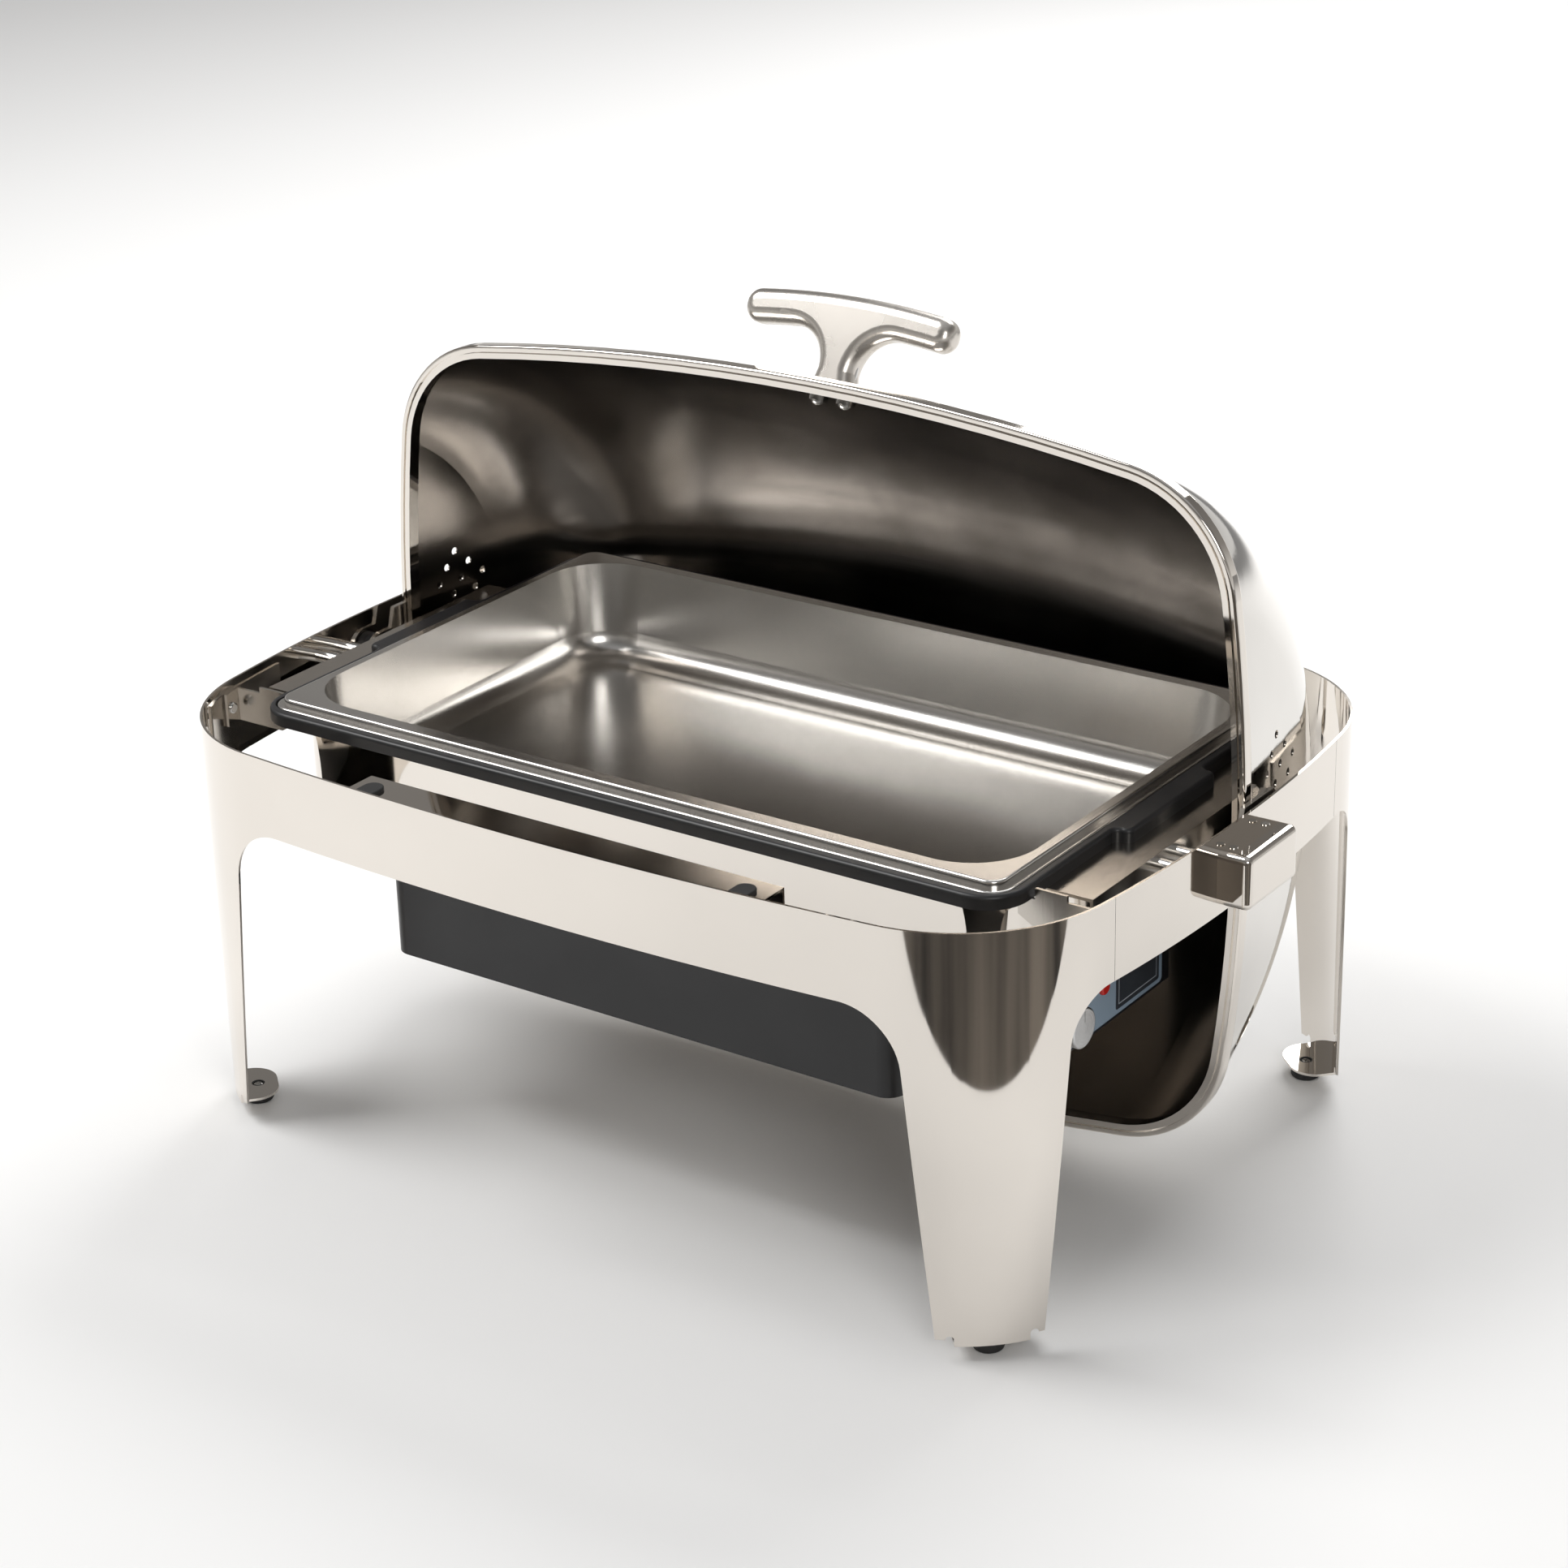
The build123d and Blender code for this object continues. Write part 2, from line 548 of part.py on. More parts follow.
def food_pan():
    """A full size pan: flat flange with a step down to its outer lip, and a tapered bowl."""
    open_x, open_y, open_r = 254.0, 148.0, 42.0
    flange_x, flange_y = PAN_HALF_X - 4.5, PAN_HALF_Y - 4.5
    lip_top = FLANGE_TOP - 4.5
    flange = rounded_slab(flange_x, flange_y, 10, lip_top - 1, FLANGE_TOP)
    flange = fillet(flange.edges().group_by(Axis.Z)[-1], 1.6)
    under = rounded_slab(flange_x - PAN_SHEET, flange_y - PAN_SHEET, 9, 0, FLANGE_TOP - PAN_SHEET)
    lip = rounded_slab(PAN_HALF_X, PAN_HALF_Y, 14, lip_top - 3.5, lip_top)
    lip = fillet(lip.edges().group_by(Axis.Z)[-1], 1.4)
    lip_hollow = rounded_slab(PAN_HALF_X - PAN_SHEET, PAN_HALF_Y - PAN_SHEET, 13, 0, lip_top - PAN_SHEET)
    bowl = tapered_bowl(open_x + 1, open_y + 1, open_r + 1, FLANGE_TOP, PAN_DEPTH, PAN_TAPER, 20)
    inside = tapered_bowl(open_x, open_y, open_r, FLANGE_TOP + 0.1, PAN_DEPTH - PAN_SHEET, PAN_TAPER, 19)
    shell = (flange - under) + (lip - lip_hollow - rounded_slab(flange_x - 1, flange_y - 1, 9, 0, 300))
    return shell + bowl - inside


def lugged_rim(grow, z0, z1):
    """The water pan's rim outline: a rounded rectangle with a lug at the middle of each end."""
    plan = RectangleRounded(2 * (WATER_RIM_HALF_X + grow), 2 * (WATER_RIM_HALF_Y + grow), 26 + grow)
    lug = Polygon(
        (-LUG_HALF_X - grow, -LUG_HALF_Y), (LUG_HALF_X + grow, -LUG_HALF_Y),
        (LUG_HALF_X + grow, LUG_HALF_Y), (-LUG_HALF_X - grow, LUG_HALF_Y), align=None,
    )
    plan = plan + lug
    steps = [v for v in plan.vertices() if abs(abs(v.Y) - LUG_HALF_Y) < 1]
    plan = fillet(steps, 4.9)
    return Pos(0, 0, z0) * extrude(plan, z1 - z0)


def water_pan_rim():
    """The thick black rim that frames the basin, with the recess that its flange lies in."""
    ledge = SEAT_Z - WATER_SHEET
    rim = lugged_rim(0, WATER_RIM_BOTTOM, WATER_RIM_TOP)
    rim = fillet(rim.edges().group_by(Axis.Z)[-1], 2.5)
    rim = rim - rounded_slab(PAN_HALF_X + 1, PAN_HALF_Y + 1, 15, ledge, 300)
    return rim - rounded_slab(WATER_HALF_X, WATER_HALF_Y, 30, 0, 300)


def water_pan():
    """The steel basin that holds the hot water: a flat flange and two steps of wall."""
    t = WATER_SHEET
    flange = rounded_slab(PAN_HALF_X + 1, PAN_HALF_Y + 1, 15, SEAT_Z - t, SEAT_Z)
    upper = rounded_slab(WATER_HALF_X, WATER_HALF_Y, 30, WATER_STEP_Z, SEAT_Z)
    lower_x, lower_y, depth = WATER_HALF_X - 4, WATER_HALF_Y - 4, WATER_STEP_Z - WATER_FLOOR
    lower = tapered_bowl(lower_x, lower_y, 36, WATER_STEP_Z, depth, 12, 14)
    upper_in = rounded_slab(WATER_HALF_X - t, WATER_HALF_Y - t, 30 - t, WATER_STEP_Z + t, 300)
    lower_in = tapered_bowl(lower_x - t, lower_y - t, 36 - t, WATER_STEP_Z + t + 0.1, depth, 12, 13)
    return flange + upper + lower - upper_in - lower_in


# --- Heater unit under the water pan ------------------------------------------------------------
def heater_housing():
    """The shallow black case under the water pan, open below."""
    outer = block(-HOUSING_HALF_X, HOUSING_HALF_X, HOUSING_FRONT, HOUSING_BACK, HOUSING_BOTTOM, WATER_FLOOR)
    outer = fillet(outer.edges().filter_by(Axis.Z), 12)
    wall = HOUSING_WALL
    inner = block(
        -HOUSING_HALF_X + wall, HOUSING_HALF_X - wall, HOUSING_FRONT + wall, HOUSING_BACK - wall,
        HOUSING_BOTTOM - 1, WATER_FLOOR - wall,
    )
    inner = fillet(inner.edges().filter_by(Axis.Z), 12 - wall)
    pass_through = block(HOUSING_HALF_X - 10, HOUSING_HALF_X + 10, -40, 40, 125, 160)
    contact = block(-170, 170, -110, 110, WATER_FLOOR - 3, WATER_FLOOR + 3)
    case = outer - inner - pass_through - contact
    for x, y in foot_places():
        case += rod(4.5, (x, y, HOUSING_BOTTOM + 2), (x, y, WATER_FLOOR - wall))
        case -= rod(2.0, (x, y, HOUSING_BOTTOM), (x, y, HOUSING_BOTTOM + 8))
    return case


def control_box():
    """The end box that holds the thermostat and the inlet, closed on its front, back and floor."""
    wall = HOUSING_WALL
    x0 = HOUSING_HALF_X
    outer = block(x0, BOX_END_X, -BOX_HALF_Y, BOX_HALF_Y, HOUSING_BOTTOM, WATER_FLOOR - 4)
    outer = fillet(outer.edges().filter_by(Axis.Z).group_by(Axis.X)[-1], 1.5)
    inner = block(
        x0 - 1, BOX_END_X - wall, -BOX_HALF_Y + wall, BOX_HALF_Y - wall,
        HOUSING_BOTTOM + wall, WATER_FLOOR - 4 - wall,
    )
    window_hole = block(BOX_END_X - 5, BOX_END_X + 5, -64, 30, 123, 158)
    inlet_hole = block(201, 230, BOX_HALF_Y - 5, BOX_HALF_Y + 5, 133, 155)
    return outer - inner - window_hole - inlet_hole


def base_plate():
    """The flat cover that closes the housing from below, with vent slots."""
    wall = HOUSING_WALL
    plate = block(
        -HOUSING_HALF_X + wall + 0.2, HOUSING_HALF_X - wall - 0.2,
        HOUSING_FRONT + wall + 0.2, HOUSING_BACK - wall - 0.2, HOUSING_BOTTOM, HOUSING_BOTTOM + 2,
    )
    plate = fillet(plate.edges().filter_by(Axis.Z), 10)
    for row in range(7):
        x = -60 + row * 20
        slot = Pos(x, 0, HOUSING_BOTTOM - 1) * extrude(Rot(0, 0, 90) * SlotOverall(60, 5), 5)
        plate -= slot
    for x, y in foot_places():
        plate -= rod(2.0, (x, y, HOUSING_BOTTOM - 1), (x, y, HOUSING_BOTTOM + 5))
    return plate


def foot_places():
    return [(x, y) for x in (-165.0, 165.0) for y in (HOUSING_FRONT + 18, HOUSING_BACK - 18)]


def housing_foot(x, y):
    foot = Pos(x, y, HOUSING_BOTTOM - 5) * Cone(6, 7.5, 5, align=(Align.CENTER, Align.CENTER, Align.MIN))
    return foot - rod(2.0, (x, y, HOUSING_BOTTOM - 8), (x, y, HOUSING_BOTTOM + 1))


def housing_foot_screw(x, y):
    return rod(2.0, (x, y, HOUSING_BOTTOM - 3), (x, y, HOUSING_BOTTOM + 8))


def element_plate():
    """The aluminium plate that spreads the heat under the water pan's floor."""
    plate = block(-168, 168, -108, 108, WATER_FLOOR - 4, WATER_FLOOR)
    return fillet(plate.edges().filter_by(Axis.Z), 14)


def heating_element():
    """The tube heater: a rounded loop with its two ends turned towards the control box."""
    z = WATER_FLOOR - 4 - 4
    path = FilletPolyline(
        (172, -20, z), (130, -20, z), (130, -80, z), (-140, -80, z),
        (-140, 80, z), (130, 80, z), (130, 20, z), (172, 20, z), radius=18,
    )
    return sweep(Plane(origin=path @ 0, z_dir=path % 0) * Circle(4), path=path)


def thermostat():
    """The thermostat switch behind the knob, with its threaded neck in the panel."""
    body = block(212, 236, KNOB_Y - 11, KNOB_Y + 13, KNOB_Z - 14, KNOB_Z + 14)
    neck = tube(5, 3.05, (236, KNOB_Y, KNOB_Z), (BOX_END_X + PANEL_SHEET, KNOB_Y, KNOB_Z))
    socket = rod(3.05, (224, KNOB_Y, KNOB_Z), (236, KNOB_Y, KNOB_Z))
    return fillet(body.edges().filter_by(Axis.X), 3) - socket + neck


def thermal_cutout():
    """The over-temperature switch clipped under the element plate."""
    z = WATER_FLOOR - 4
    return rod(8, (0, 0, z - 10), (0, 0, z)) + block(-12, 12, -4, 4, z - 2, z)


def terminal_block():
    body = block(148, 172, 50, 100, HOUSING_BOTTOM + 2, HOUSING_BOTTOM + 18)
    for k in range(4):
        y = 57 + k * 12
        body -= rod(2.6, (160, y, HOUSING_BOTTOM + 10), (160, y, HOUSING_BOTTOM + 30))
    return body


def control_panel():
    """The grey plate on the end of the control box."""
    x0 = BOX_END_X
    plate = block(x0, x0 + PANEL_SHEET, -70.5, 60, 118, 167)
    plate = fillet(plate.edges().filter_by(Axis.X), 3)
    plate = plate - rod(5, (x0 - 2, KNOB_Y, KNOB_Z), (x0 + 4, KNOB_Y, KNOB_Z))
    return plate - rod(4, (x0 - 2, LAMP_Y, LAMP_Z), (x0 + 4, LAMP_Y, LAMP_Z))


def panel_label():
    """The dark stuck-on plate beside the lamp."""
    x0 = BOX_END_X + PANEL_SHEET
    plate = block(x0, x0 + 0.3, 5, 56, 121, 164)
    return fillet(plate.edges().filter_by(Axis.X), 1.5)


def indicator_lamp():
    """A small round lamp with a domed lens."""
    x0 = BOX_END_X + PANEL_SHEET
    barrel = rod(4, (x0 - 15, LAMP_Y, LAMP_Z), (x0, LAMP_Y, LAMP_Z))
    lens = rod(5, (x0, LAMP_Y, LAMP_Z), (x0 + 2.5, LAMP_Y, LAMP_Z))
    return barrel + fillet(lens.edges().sort_by(Axis.X)[-1], 1.8)


def power_inlet():
    """A three-pin appliance inlet, set in the back of the control box."""
    y1 = BOX_HALF_Y
    flange = block(198, 233, y1, y1 + 2, 129.5, 158.5)
    flange = fillet(flange.edges().filter_by(Axis.Y), 3)
    body = block(201.2, 229.8, y1 - 20, y1, 133.2, 154.8)
    well = block(203.5, 227.5, y1 - 16, y1 + 5, 136, 152)
    well = fillet(well.edges().filter_by(Axis.Y), 2.5)
    inlet = flange + body - well
    for x, z in ((208.5, 142.5), (215.5, 146.5), (222.5, 142.5)):
        inlet += block(x - 1, x + 1, y1 - 17, y1 - 3, z - 2, z + 2)
    return inlet


# --- Knob --------------------------------------------------------------------------------------
def knob_shaft():
    """The thermostat's spindle."""
    return rod(3, (224.3, KNOB_Y, KNOB_Z), (BOX_END_X + 12, KNOB_Y, KNOB_Z))


def control_knob():
    """The knob's moulded body: a wide skirt and a core that the metal cap sits on."""
    x0 = BOX_END_X + 1.7
    skirt = rod(SKIRT_RADIUS, (x0, KNOB_Y, KNOB_Z), (x0 + 3, KNOB_Y, KNOB_Z))
    skirt = fillet(skirt.edges().sort_by(Axis.X)[-1], 1.2)
    core = rod(CAP_RADIUS - 1.2, (x0 + 3, KNOB_Y, KNOB_Z), (x0 + 13, KNOB_Y, KNOB_Z))
    return skirt + core - rod(3, (200, KNOB_Y, KNOB_Z), (BOX_END_X + 12, KNOB_Y, KNOB_Z))


def knob_cap():
    """The spun metal cap with a pointer groove."""
    x0, x1 = BOX_END_X + 4.7, BOX_END_X + 16.5
    cap = rod(CAP_RADIUS, (x0, KNOB_Y, KNOB_Z), (x1, KNOB_Y, KNOB_Z))
    cap = fillet(cap.edges().sort_by(Axis.X)[-1], 1.4)
    cap = cap - rod(CAP_RADIUS - 1.2, (x0 - 1, KNOB_Y, KNOB_Z), (BOX_END_X + 14.7, KNOB_Y, KNOB_Z))
    return cap - block(x1 - 0.6, x1 + 1, KNOB_Y - 0.7, KNOB_Y + 0.7, KNOB_Z + 4, KNOB_Z + 11)


# --- Write every sub-part ------------------------------------------------------------------------
front = end_piece()
save("front_frame", front)
save("rear_frame", mirror(front, about=MIRROR_Y))
right_band = side_band()
save("right_side_band", right_band)
save("left_side_band", mirror(right_band, about=MIRROR_X))
front_plates = both_ends(joint_plate())
save("corner_joint_plates", Compound([front_plates, mirror(front_plates, about=MIRROR_Y)]))
feet = [(x, y) for x in (-FOOT_X, FOOT_X) for y in (-FOOT_Y, FOOT_Y)]
save("rubber_feet", Compound([rubber_foot(x, y) for x, y in feet]))
save("foot_screws", Compound([foot_screw(x, y) for x, y in feet]))

save("lid_shelf", lid_shelf())
save("shelf_pads", Compound([shelf_pad(x) for x in (-134, 134)]))
save("corner_brackets", both_ends(water_pan_bracket()))
save("bracket_rivets", both_ends(bracket_rivet()))
save("rail_collars", both_ends(Compound([rail_collar(y) for y in BOLT_YS])))
save("rail_bolts", both_ends(Compound([rail_bolt(y) for y in BOLT_YS])))

for side, build in (
    ("side_rail", side_rail), ("hinge_block", hinge_block), ("hinge_cover", hinge_cover),
    ("hinge_bush", hinge_bush), ("lid_arm", lid_arm), ("lid_axle", lid_axle),
):
    piece = build()
    save(f"{side}_right", piece)
    save(f"{side}_left", mirror(piece, about=MIRROR_X))
save("cover_screws", both_ends(Compound([cover_screw(x, y) for x, y in cover_screw_places()])))
save("open_stops", both_ends(open_stop()))
save("friction_discs", both_ends(friction_disc()))
save("spring_washers", both_ends(spring_washer()))
save("axle_nuts", both_ends(axle_nut()))

save("lid_dome", lid_dome())
save("lid_rim", lid_rim())
save("lid_handle", lid_handle())
for name, build in (
    ("handle_studs", handle_stud), ("handle_spacers", handle_spacer),
    ("handle_washers", handle_washer), ("handle_nuts", handle_nut),
):
    save(name, Compound([build(x) for x in (-STUD_X, STUD_X)]))

save("food_pan", food_pan())
save("water_pan", water_pan())
save("water_pan_rim", water_pan_rim())
save("heater_housing", heater_housing())
save("control_box", control_box())
save("base_plate", base_plate())
save("housing_feet", Compound([housing_foot(x, y) for x, y in foot_places()]))
save("housing_screws", Compound([housing_foot_screw(x, y) for x, y in foot_places()]))
save("element_plate", element_plate())
save("heating_element", heating_element())
save("thermostat", thermostat())
save("thermal_cutout", thermal_cutout())
save("terminal_block", terminal_block())
save("control_panel", control_panel())
save("panel_label", panel_label())
save("indicator_lamp", indicator_lamp())
save("power_inlet", power_inlet())
save("knob_shaft", knob_shaft())
save("control_knob", control_knob())
save("knob_cap", knob_cap())
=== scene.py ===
import json

import bpy
from mathutils import Matrix, Vector


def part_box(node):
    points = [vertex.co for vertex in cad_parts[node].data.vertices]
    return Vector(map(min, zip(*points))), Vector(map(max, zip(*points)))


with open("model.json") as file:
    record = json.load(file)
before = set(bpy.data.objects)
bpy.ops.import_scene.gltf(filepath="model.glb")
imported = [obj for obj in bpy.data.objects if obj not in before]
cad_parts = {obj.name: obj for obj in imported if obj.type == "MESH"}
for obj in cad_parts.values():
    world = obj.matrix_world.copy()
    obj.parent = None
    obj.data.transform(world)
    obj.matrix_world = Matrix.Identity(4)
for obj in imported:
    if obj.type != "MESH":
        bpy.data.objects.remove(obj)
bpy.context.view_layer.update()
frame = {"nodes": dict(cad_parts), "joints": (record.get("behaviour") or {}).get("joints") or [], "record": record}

# Metres, in the frame's axes: +X to the end with the control panel, +Y to the back, +Z up.
# The camera's place, its three axes and its lens were solved by a separate camera-fitting
# program, not chosen by hand, and are rounded here.
CAMERA_AT = (1.19415, -1.66411, 1.08791)
CAMERA_RIGHT = (0.8202, 0.5715, -0.0248)
CAMERA_DOWN = (0.2065, -0.3363, -0.9189)
CAMERA_FORWARD = (-0.5335, 0.7485, -0.3938)
LENS_MM = 82.98
SENSOR_MM = 36.0

FLOOR_SIZE = 60.0
OBJECT_MIDDLE = (0, 0, 0.2)
WORLD_STRENGTH = 0.74
# The surroundings' colour by the upward part of the direction: bright at and below the horizon,
# darkest part way up, and lighter again overhead.
SKY_BANDS = (
    (0.0, (0.97, 0.96, 0.94)),
    (0.08, (0.80, 0.79, 0.77)),
    (0.25, (0.36, 0.345, 0.33)),
    (0.6, (0.20, 0.195, 0.19)),
    (1.0, (0.62, 0.63, 0.65)),
)

DOME_AXIS_FORWARD = 0.038               # from the lid's pivot to the axis of its round section
LABEL_LINE_INSET = 0.0032               # from the label's edge to its frame line
LABEL_LINE_HALF = 0.0003
GRIND_LINES = (8, 700, 700)             # noise scales that leave fine lines along X
LID_LINES = (4, 700, 700)               # the same, with longer lines
ROLLED_LINES = (500, 500, 20)           # fine lines along Z


# --- Material graphs --------------------------------------------------------------------------
class Nodes:
    """A short way to write a material's node graph."""

    def __init__(self, name):
        self.material = bpy.data.materials.new(name)
        self.material.use_nodes = True
        self.tree = self.material.node_tree
        self.shader = self.tree.nodes["Principled BSDF"]

    def add(self, kind, **settings):
        node = self.tree.nodes.new(kind)
        for key, value in settings.items():
            setattr(node, key, value)
        return node

    def link(self, source, socket):
        self.tree.links.new(source, socket)

    def to(self, source, name):
        """Sends a signal to one of the shader's inputs."""
        self.link(source, self.shader.inputs[name])

    def set(self, name, value):
        self.shader.inputs[name].default_value = value

    def value(self, operation, *inputs):
        """A Math node, with a signal or a number on each input."""
        return self.operate("ShaderNodeMath", operation, inputs).outputs["Value"]

    def vector(self, operation, *inputs):
        """A Vector Math node, with a signal or three numbers on each input."""
        return self.operate("ShaderNodeVectorMath", operation, inputs)

    def operate(self, kind, operation, inputs):
        node = self.add(kind, operation=operation)
        for socket, given in zip(node.inputs, inputs):
            if isinstance(given, bpy.types.NodeSocket):
                self.link(given, socket)
            else:
                socket.default_value = given
        return node

    def noise(self, scale, detail, stretch=(1, 1, 1)):
        place = self.add("ShaderNodeTexCoord")
        mapping = self.add("ShaderNodeMapping")
        mapping.inputs["Scale"].default_value = stretch
        self.link(place.outputs["Object"], mapping.inputs["Vector"])
        node = self.add("ShaderNodeTexNoise")
        node.inputs["Scale"].default_value = scale
        node.inputs["Detail"].default_value = detail
        self.link(mapping.outputs["Vector"], node.inputs["Vector"])
        return node.outputs["Fac"]

    def ramp(self, source, low, high, start=0.3, end=0.7):
        """Maps a 0 to 1 signal between two colours or two greys."""
        node = self.add("ShaderNodeValToRGB")
        first, last = node.color_ramp.elements
        first.position, last.position = start, end
        for element, value in ((first, low), (last, high)):
            element.color = (value, value, value, 1) if isinstance(value, float) else (*value, 1)
        self.link(source, node.inputs["Fac"])
        return node.outputs["Color"]

    def mix(self, factor, first, second, name):
        """Sends first to the named shader input where factor is 0, and second where it is 1."""
        node = self.add("ShaderNodeMix", data_type="RGBA")
        colour_a, colour_b, colour_out = node.inputs[6], node.inputs[7], node.outputs[2]
        self.link(factor, node.inputs["Factor"])
        self.link(first, colour_a)
        self.link(second, colour_b)
        self.to(colour_out, name)

    def relief(self, height, strength, distance=0.0002):
        """Bumps the surface by a signal, by up to the distance in metres."""
        node = self.add("ShaderNodeBump")
        node.inputs["Strength"].default_value = strength
        node.inputs["Distance"].default_value = distance
        self.link(height, node.inputs["Height"])
        self.to(node.outputs["Normal"], "Normal")


def steel(name, colour, rough_low, rough_high, grain=None, grain_strength=0.05, smudge=14.0):
    """Stainless steel: faint smudges in the gloss and, with grain, fine brushed lines."""
    m = Nodes(name)
    m.set("Metallic", 1.0)
    dark = tuple(c * 0.975 for c in colour)
    m.to(m.ramp(m.noise(smudge, 3), dark, colour), "Base Color")
    m.to(m.ramp(m.noise(smudge * 2.3, 2), rough_low, rough_high), "Roughness")
    if grain:
        m.relief(m.noise(1.0, 3, stretch=grain), grain_strength, 0.0003)
    return m.material


def coated(name, colour, rough, texture=0.08):
    """Painted or moulded surface with a fine texture and slight variation in its sheen."""
    m = Nodes(name)
    light = tuple(min(c * 1.25, 1) for c in colour)
    m.to(m.ramp(m.noise(9, 4), colour, light), "Base Color")
    m.to(m.ramp(m.noise(25, 5), rough * 0.88, min(rough * 1.12, 1.0)), "Roughness")
    if texture:
        m.relief(m.noise(900.0, 3), texture)
    return m.material


def two_sided_steel(name, centre):
    """The pressed lid: mirror polish on its outside and fine-ground steel on its inside, whose colour is painted
    darker as shade.
    """
    m = Nodes(name)
    m.set("Metallic", 1.0)
    place = m.add("ShaderNodeTexCoord")
    away = m.vector("SUBTRACT", place.outputs["Object"], centre).outputs["Vector"]
    facing = m.vector("DOT_PRODUCT", away, place.outputs["Normal"]).outputs["Value"]
    outside = m.value("GREATER_THAN", facing, 0.0)
    # Painted shade: the inside's colour is much darker than the outside's, standing in for the dark surroundings
    # it reflects.
    inside_painted_shade = m.ramp(m.noise(5, 2), (0.30, 0.275, 0.25), (0.38, 0.35, 0.32))
    mirror_colour = m.ramp(m.noise(12, 3), (0.70, 0.68, 0.65), (0.76, 0.74, 0.71))
    m.mix(outside, inside_painted_shade, mirror_colour, "Base Color")
    ground_gloss = m.ramp(m.noise(16, 5), 0.17, 0.25)
    mirror_gloss = m.ramp(m.noise(26, 5), 0.04, 0.08)
    m.mix(outside, ground_gloss, mirror_gloss, "Roughness")
    m.relief(m.noise(1.0, 3, stretch=LID_LINES), 0.08)
    return m.material


def spun_metal(name, centre, colour):
    """Turned metal with fine rings about the line along X through the centre."""
    m = Nodes(name)
    m.set("Metallic", 1.0)
    place = m.add("ShaderNodeTexCoord")
    away = m.vector("SUBTRACT", place.outputs["Object"], centre).outputs["Vector"]
    across = m.vector("MULTIPLY", away, (0, 1, 1)).outputs["Vector"]
    radius = m.vector("LENGTH", across).outputs["Value"]
    noise = m.add("ShaderNodeTexNoise", noise_dimensions="1D")
    noise.inputs["Scale"].default_value = 4000.0
    noise.inputs["Detail"].default_value = 2.0
    m.link(radius, noise.inputs["W"])
    rings = noise.outputs["Fac"]
    m.to(m.ramp(rings, tuple(c * 0.8 for c in colour), colour), "Base Color")
    m.to(m.ramp(rings, 0.18, 0.34), "Roughness")
    m.relief(rings, 0.35)
    return m.material


def framed_label(name, low, high):
    """A dark stuck-on plate, facing along X, with a plain pale frame line and no lettering."""
    m = Nodes(name)
    place = m.add("ShaderNodeTexCoord")
    split = m.add("ShaderNodeSeparateXYZ")
    m.link(place.outputs["Object"], split.inputs["Vector"])
    insets = []
    for axis, k in (("Y", 1), ("Z", 2)):
        half = (high[k] - low[k]) / 2
        from_middle = m.value("ABSOLUTE", m.value("SUBTRACT", split.outputs[axis], low[k] + half))
        insets.append(m.value("SUBTRACT", half, from_middle))
    line = m.value("COMPARE", m.value("MINIMUM", *insets), LABEL_LINE_INSET, LABEL_LINE_HALF)
    dark = m.ramp(m.noise(30, 3), (0.035, 0.04, 0.047), (0.05, 0.056, 0.065))
    pale = m.ramp(m.noise(30, 3), (0.42, 0.46, 0.5), (0.5, 0.54, 0.58))
    m.mix(line, dark, pale, "Base Color")
    m.to(m.ramp(m.noise(25, 4), 0.3, 0.42), "Roughness")
    return m.material


# --- Materials on the CAD nodes ---------------------------------------------------------------
def dome_axis():
    """A point on the axis of the lid's round section."""
    hinge = next(j for j in frame["joints"] if j["name"] == "lid_hinge")
    return (0.0, -DOME_AXIS_FORWARD, hinge["pos_m"][2])


def middle_of(node):
    low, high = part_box(node)
    return tuple((a + b) / 2 for a, b in zip(low, high))


def make_materials():
    """One material for each slot in the record."""
    return {
        "polished_steel": steel("polished_steel", (0.78, 0.735, 0.68), 0.03, 0.06),
        "lid_steel": two_sided_steel("lid_steel", dome_axis()),
        "satin_steel": steel(
            "satin_steel", (0.72, 0.70, 0.67), 0.2, 0.27, GRIND_LINES, 0.015, smudge=4.0
        ),
        "bracket_steel": steel("bracket_steel", (0.60, 0.56, 0.51), 0.14, 0.24, ROLLED_LINES),
        "bright_fixing": steel("bright_fixing", (0.62, 0.61, 0.59), 0.12, 0.22),
        "handle_metal": steel("handle_metal", (0.68, 0.64, 0.59), 0.24, 0.30),
        "black_coating": coated("black_coating", (0.012, 0.012, 0.013), 0.4),
        "black_rubber": coated("black_rubber", (0.015, 0.015, 0.015), 0.7),
        "black_plastic": coated("black_plastic", (0.014, 0.014, 0.015), 0.42),
        "panel_grey": coated("panel_grey", (0.24, 0.31, 0.38), 0.4, texture=0.04),
        "label_dark": framed_label("label_dark", *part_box("panel_label")),
        "lamp_red": coated("lamp_red", (0.5, 0.02, 0.015), 0.12, texture=0.0),
        "knob_metal": spun_metal("knob_metal", middle_of("knob_cap"), (0.82, 0.82, 0.82)),
        "plain_aluminium": steel("plain_aluminium", (0.75, 0.75, 0.76), 0.3, 0.4),
        "heater_steel": steel("heater_steel", (0.32, 0.31, 0.30), 0.3, 0.45),
    }


def dress(materials):
    """Gives every CAD node the material of its slot in the record."""
    slot_of = {s["node"]: s["material_slot"] for s in frame["record"]["subparts"]}
    for node, obj in frame["nodes"].items():
        for slot in obj.material_slots:
            slot.material = materials[slot_of[node]]


# --- Floor, surroundings, lights and camera ---------------------------------------------------
def make_floor():
    bpy.ops.mesh.primitive_plane_add(size=FLOOR_SIZE)
    floor = bpy.context.object
    floor.name = "floor"
    m = Nodes("floor")
    m.set("Roughness", 0.85)
    m.to(m.ramp(m.noise(0.6, 2), (0.86, 0.855, 0.845), (0.9, 0.895, 0.885)), "Base Color")
    floor.data.materials.append(m.material)


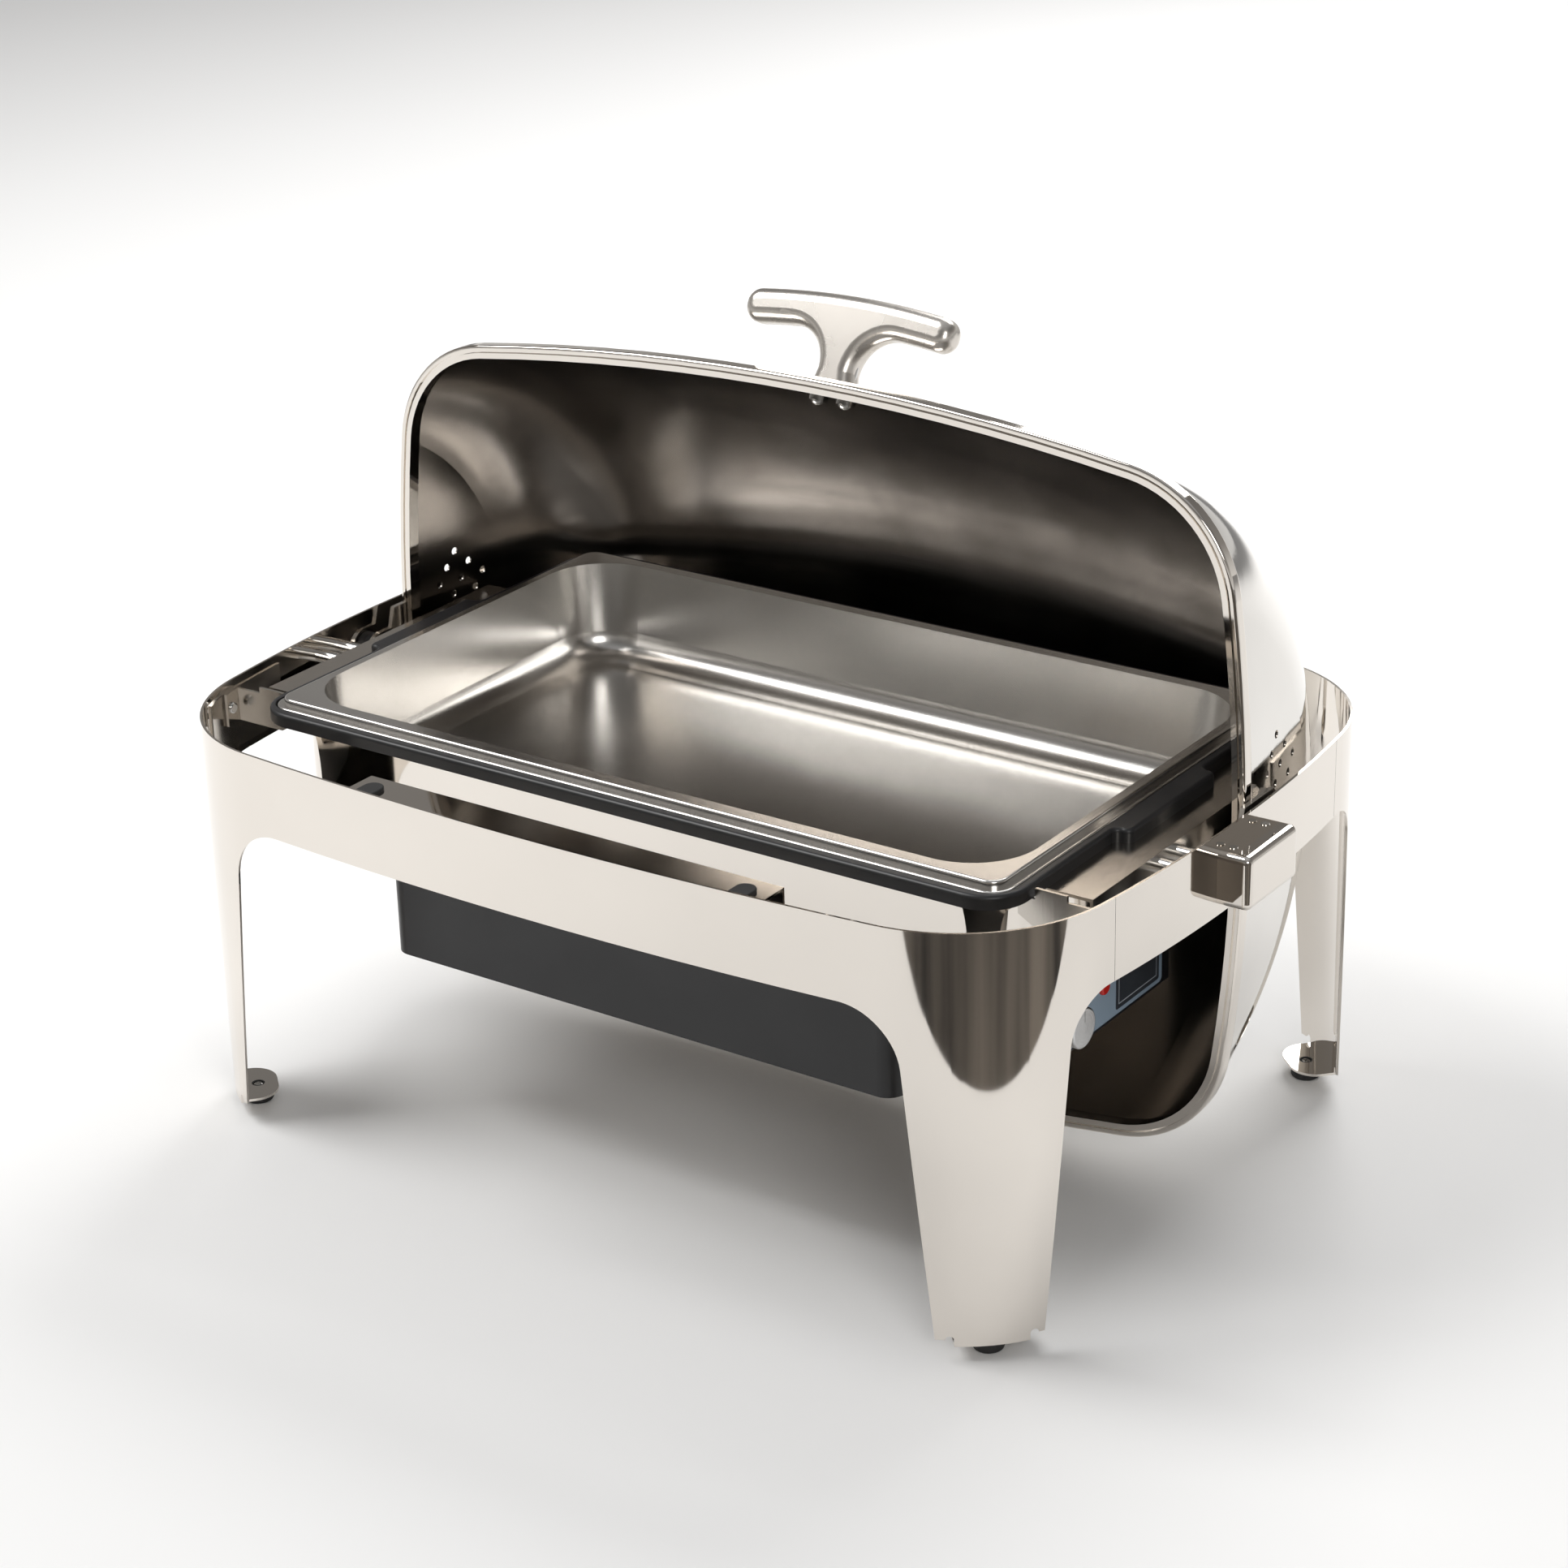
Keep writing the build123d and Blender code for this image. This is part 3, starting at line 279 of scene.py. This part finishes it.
def make_world():
    world = bpy.data.worlds.new("world")
    bpy.context.scene.world = world
    world.use_nodes = True
    tree = world.node_tree
    background = tree.nodes["Background"]
    background.inputs["Strength"].default_value = WORLD_STRENGTH
    direction = tree.nodes.new("ShaderNodeTexCoord")
    split = tree.nodes.new("ShaderNodeSeparateXYZ")
    shade = tree.nodes.new("ShaderNodeValToRGB")
    tree.links.new(direction.outputs["Generated"], split.inputs["Vector"])
    tree.links.new(split.outputs["Z"], shade.inputs["Fac"])
    tree.links.new(shade.outputs["Color"], background.inputs["Color"])
    stops = shade.color_ramp.elements
    while len(stops) < len(SKY_BANDS):
        stops.new(0.5)
    for stop, (position, colour) in zip(stops, SKY_BANDS):
        stop.position, stop.color = position, (*colour, 1)


def area_light(name, at, towards, size, power):
    data = bpy.data.lights.new(name, "AREA")
    data.shape = "RECTANGLE"
    data.size = data.size_y = size
    data.energy = power
    lamp = bpy.data.objects.new(name, data)
    lamp.location = at
    lamp.rotation_mode = "QUATERNION"
    lamp.rotation_quaternion = (Vector(towards) - Vector(at)).to_track_quat("-Z", "Y")
    bpy.context.collection.objects.link(lamp)


def dark_flag(name, at, width, height):
    """An upright dark card, seen only in reflections, that gives polished steel dark streaks."""
    bpy.ops.mesh.primitive_plane_add(size=1.0, location=at)
    card = bpy.context.object
    card.name = name
    card.scale = (width, height, 1.0)
    card.rotation_mode = "QUATERNION"
    card.rotation_quaternion = Vector((at[0], at[1], 0.0)).to_track_quat("Z", "Y")
    m = Nodes(name)
    m.set("Roughness", 1.0)
    streaks = m.noise(1.0, 3, stretch=(7, 0.4, 1))
    m.to(m.ramp(streaks, (0.02, 0.018, 0.016), (0.17, 0.15, 0.13), 0.35, 0.7), "Base Color")
    card.data.materials.append(m.material)
    card.visible_camera = card.visible_shadow = card.visible_diffuse = False


def make_camera():
    data = bpy.data.cameras.new("camera")
    data.lens = LENS_MM
    data.sensor_width = SENSOR_MM
    data.clip_start, data.clip_end = 0.05, 200.0
    camera = bpy.data.objects.new("camera", data)
    bpy.context.collection.objects.link(camera)
    right, down, forward = Vector(CAMERA_RIGHT), Vector(CAMERA_DOWN), Vector(CAMERA_FORWARD)
    turn = Matrix((right, -down, -forward)).transposed().to_4x4()
    camera.matrix_world = Matrix.Translation(Vector(CAMERA_AT)) @ turn
    bpy.context.scene.camera = camera


dress(make_materials())
make_floor()
make_world()
area_light("key", (-1.7, -0.9, 2.75), OBJECT_MIDDLE, 1.7, 66)
area_light("fill", (2.4, -2.2, 1.8), OBJECT_MIDDLE, 1.2, 26)
area_light("back", (-0.3, 2.8, 2.4), (0, 1.2, 0), 2.2, 90)
dark_flag("flag_front", (0.505, -0.43, 0.18), 1.2, 0.36)
make_camera()
bpy.context.scene.view_settings.view_transform = "Standard"
